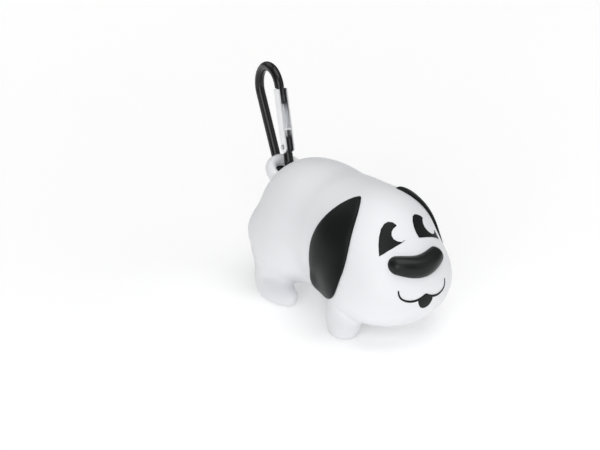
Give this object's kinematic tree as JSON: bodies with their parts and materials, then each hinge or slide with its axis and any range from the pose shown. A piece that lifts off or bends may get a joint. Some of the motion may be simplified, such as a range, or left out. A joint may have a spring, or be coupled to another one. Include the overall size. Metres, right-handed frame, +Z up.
{
  "type": "dog poop bag dispenser",
  "caption": "Hollow dog-shaped figure that holds a roll of waste bags behind a hinged belly door with a pull-out slot, and hangs by a carabiner on its tail loop.",
  "frame": {"origin": "middle of the whole object's bounding box, carabiner included, at the level of the soles", "axes": "+X from the tail to the nose, +Y to the dog's left, +Z up"},
  "size_m": [0.1334, 0.0564, 0.093],
  "materials": {
    "white_vinyl": "matte",
    "black_vinyl": "satin",
    "black_print": "printed",
    "white_door": "matte",
    "steel": "bright",
    "black_aluminium": "black anodised, glossy",
    "bare_aluminium": "brushed",
    "card": "plain card",
    "black_film": "thin film",
    "paper": "coated paper"
  },
  "bodies": {
    "dog": {"dog_body": "white_vinyl", "right_ear": "black_vinyl", "left_ear": "black_vinyl", "nose": "black_vinyl", "right_eye": "black_print", "left_eye": "black_print", "mouth": "black_print", "tongue": "black_print", "door_pin": "steel"},
    "door": {"belly_door": "white_door"},
    "roll": {"roll_core": "card", "bag_roll": "black_film", "roll_label": "paper"},
    "clip": {"carabiner_body": "black_aluminium", "gate_rivet": "steel", "gate_spring": "steel"},
    "gate": {"carabiner_gate": "bare_aluminium"}
  },
  "joints": [
    {"name": "door_hinge", "type": "hinge", "parent": "dog", "child": "door", "pos_m": [0.02942, 0, 0.0076], "axis": [0, -1, 0], "range_deg": [0, 100]},
    {"name": "roll_spin", "type": "hinge", "parent": "dog", "child": "roll", "pos_m": [0.01002, 0, 0.0293], "axis": [1, 0, 0], "continuous": true},
    {"name": "carabiner_swing", "type": "hinge", "parent": "dog", "child": "clip", "pos_m": [-0.0426, 0.002, 0.0506], "axis": [0.0698, 0.9976, 0], "range_deg": [-110, 28]},
    {"name": "gate_hinge", "type": "hinge", "parent": "clip", "child": "gate", "pos_m": [-0.03885, 0.00174, 0.05823], "axis": [-0.0698, -0.9976, 0], "range_deg": [0, 24], "stiffness_Nm_per_rad": 0.02, "springref_deg": -8.59}
  ]
}
